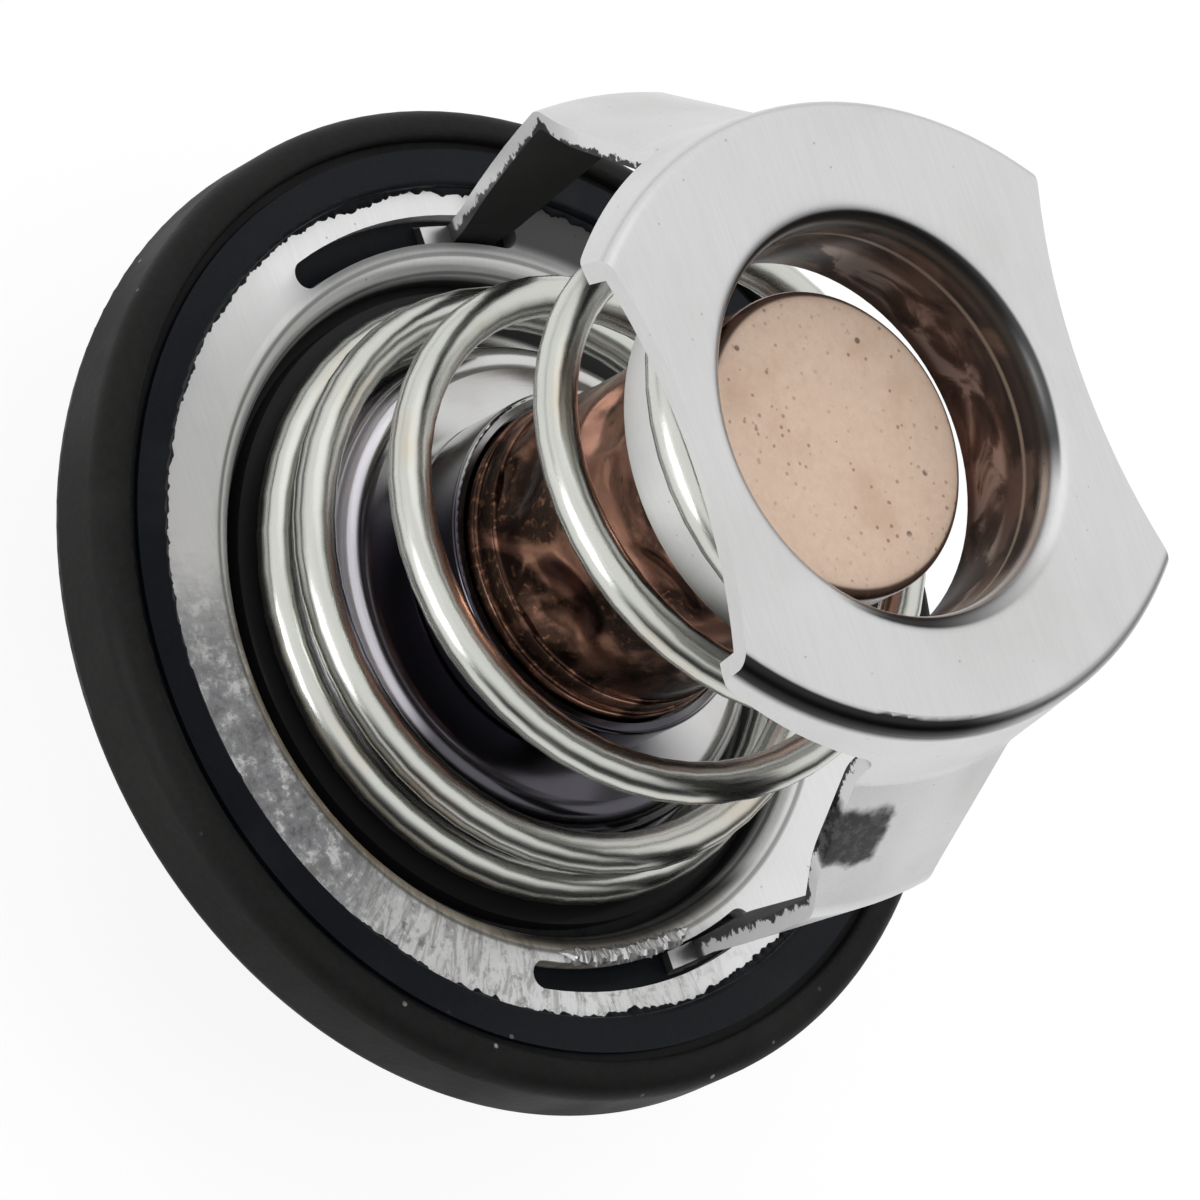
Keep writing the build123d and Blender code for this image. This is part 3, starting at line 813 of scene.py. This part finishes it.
def make_capsule():
    """The copper capsule with its dents and a slightly uneven side."""
    segments = 144
    profile = capsule_profile()
    points = []
    for radius, height in profile:
        on_side = abs(radius - CAPSULE_R) < 0.01 and height < CAPSULE_END - CAPSULE_ROUND
        for segment in range(segments):
            angle = 360 * segment / segments
            pressed = radius
            if on_side:
                pressed -= dent_depth(angle, height)
                pressed += 0.05 * noise.noise(Vector((angle * 0.05, height * 0.6, 3)))
            points += round_axis(heading_at(math.radians(angle)), [(pressed, height)])
    faces = tube_faces(len(profile), segments, closed=True)
    piece = mesh_piece("capsule_shell", points, faces, copper(), sharp=50)
    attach(piece, "valve")
    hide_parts("wax_capsule")


# ---- Thin trim on the ring and the flange, and a dark sheet of painted shade under the slots
def rubber_trim(name, samples, section_at):
    """A thin closed ring of rubber whose section may differ from heading to heading."""
    points = []
    for sample in range(samples):
        heading = heading_at(math.tau * sample / samples)
        section = section_at(heading)
        points += round_axis(heading, section)
    faces = tube_faces(samples, len(section), closed=True)
    piece = mesh_piece(name, points, faces, materials["seal_ring"], sharp=60)
    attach(piece, "housing")


def flash_section(heading):
    """Torn edge of rubber that crept over the flange inside the moulded ring."""
    outer_r = UPPER_LIP_R + 0.3
    bottom = FLANGE_TOP - 0.02
    creep = 0.30
    for reach, waviness in ((0.25, 6), (0.22, 40), (0.16, 110)):
        creep += reach * noise.noise(heading * waviness)
    edge_r = UPPER_LIP_R - max(creep, 0.05)
    return (
        (edge_r, bottom),
        (edge_r + 0.05, FLANGE_TOP + 0.09),
        (UPPER_LIP_R - 0.02, FLANGE_TOP + 0.22),
        (outer_r, FLANGE_TOP + 0.30),
        (outer_r, bottom),
    )


def slot_shade_section(heading):
    """Dark rubber sheet under the flange that stands in for the shade behind its slots, with a wavy inner
    edge.
    """
    top = FLANGE_TOP - FLANGE_SHEET + 0.02
    bottom = top - 0.30
    inner_r = SLOT_INNER_R - 0.3 + 0.10 * noise.noise(heading * 9)
    outer_r = LOWER_LIP_R + 0.2
    return (
        (inner_r, top - 0.07),
        (inner_r + 0.10, top),
        (outer_r, top),
        (outer_r, bottom),
        (inner_r + 0.35, bottom),
    )


def make_slot_burr():
    """Bright torn edge of sheet metal standing up along the lower slot's inner side."""
    samples = 150
    start, end = math.radians(163), math.radians(190)
    middle_r = SLOT_INNER_R - 0.6
    sunk = 0.02
    end_steepness = 9
    section = (
        (-0.3, 0.0), (-0.1, 0.28), (0.3, 0.42), (0.6, 0.30), (0.7, 0.02), (0.4, -0.35), (-0.15, -0.2),
    )
    points = []
    for sample in range(samples):
        share = sample / (samples - 1)
        fade = min(1, share * end_steepness, (1 - share) * end_steepness)
        torn_section = []
        for index, (along, height) in enumerate(section):
            wave = noise.noise(Vector((share * 26, index * 1.7, 5)))
            tooth = noise.noise(Vector((share * 90, index * 2.3, 9)))
            out = middle_r + (along + 0.25 * wave + 0.12 * tooth) * fade
            up = (height + 0.22 * wave + 0.12 * tooth) * fade - sunk
            torn_section.append((out, FLANGE_TOP + up))
        points += round_axis(heading_at(start + (end - start) * share), torn_section)
    faces = tube_faces(samples, len(section), closed=False)
    torn_steel = dull("torn_steel", grey(0.35), grey(0.98), metallic=0.7, roughness=0.2, grain_scale=900)
    piece = mesh_piece("slot_burr", points, faces, torn_steel, sharp=30)
    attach(piece, "housing")


# ---- Studio
def make_floor():
    """Pale floor that keeps the part's shadow; what the camera and the metal see is near white, but for a
    painted shadow under the part in what the metal sees.
    """
    half, height = FLOOR_HALF, cad_box[0][2] - FLOOR_GAP
    corners = [(-half, -half, height), (half, -half, height), (half, half, height), (-half, half, height)]
    mesh = bpy.data.meshes.new("floor")
    mesh.from_pydata(corners, [], [(0, 1, 2, 3)])
    floor = bpy.data.objects.new("floor", mesh)
    bpy.context.collection.objects.link(floor)
    material = bpy.data.materials.new("pale_floor")
    g = Graph(material)
    rays = g.add("LightPath").outputs
    mirrored = g.strongest(rays["Is Glossy Ray"], rays["Is Transmission Ray"])
    # For metal mirrors the glow fades far out and gives way to a painted shadow under the part.
    near = g.product(
        g.ramp(g.radius(), *FLOOR_GLOW_FADE, 1.0, FLOOR_GLOW_FAR),
        g.ramp(g.radius(), *FLOOR_PAINTED_SHADOW),
    )
    glow = g.strongest(rays["Is Camera Ray"], g.product(mirrored, near))
    g.finish(
        Base_Color=g.mix(glow, grey(0.60), grey(0.16)),
        Roughness=0.9,
        Specular_IOR_Level=0.0,
        Emission_Color=grey(1.0),
        Emission_Strength=g.product(glow, FLOOR_GLOW),
    )
    mesh.materials.append(material)


def make_world():
    """White for the camera; for light and reflections a soft bright side and a dark side."""
    world = bpy.data.worlds.new("studio")
    bpy.context.scene.world = world
    g = Graph(world)
    background = g.tree.nodes["Background"]
    direction = g.tree.nodes["Texture Coordinate"].outputs["Generated"]
    dome = g.ramp(g.vector("DOT_PRODUCT", direction, LIGHT_SIDE), *DOME_EDGE, DOME_DARK, 1.0)
    camera_ray = g.add("LightPath").outputs["Is Camera Ray"]
    put(g.tree, background.inputs["Color"], grey(1.0))
    put(g.tree, background.inputs["Strength"], g.strongest(camera_ray, dome))


def add_lamp(name, place, size, power):
    data = bpy.data.lights.new(name, "AREA")
    data.energy = power
    data.shape = "DISK"
    data.size = size
    lamp = bpy.data.objects.new(name, data)
    aim = (Vector(LAMP_TARGET) - Vector(place)).to_track_quat("-Z", "Y")
    lamp.matrix_world = Matrix.Translation(place) @ aim.to_matrix().to_4x4()
    bpy.context.collection.objects.link(lamp)


def add_camera():
    data = bpy.data.cameras.new("camera")
    data.lens = CAMERA_LENS
    data.sensor_width = CAMERA_SENSOR
    data.clip_start = CAMERA_CLIP_START
    camera = bpy.data.objects.new("camera", data)
    turn = Matrix((CAMERA_RIGHT, CAMERA_UP, CAMERA_BACK)).transposed().to_4x4()
    camera.matrix_world = Matrix.Translation(CAMERA_PLACE) @ turn
    bpy.context.collection.objects.link(camera)
    bpy.context.scene.camera = camera


dress_nodes()
make_spring()
make_capsule()
rubber_trim("seal_flash", 900, flash_section)
rubber_trim("slot_shade_sheet", 360, slot_shade_section)
make_slot_burr()
make_floor()
make_world()
add_lamp("key", place=(0.45, 0.05, 0.50), size=0.45, power=0.15)
add_lamp("fill", place=(0.05, 0.60, 0.06), size=0.30, power=1.6)
add_camera()
bpy.context.scene.view_settings.view_transform = "Standard"
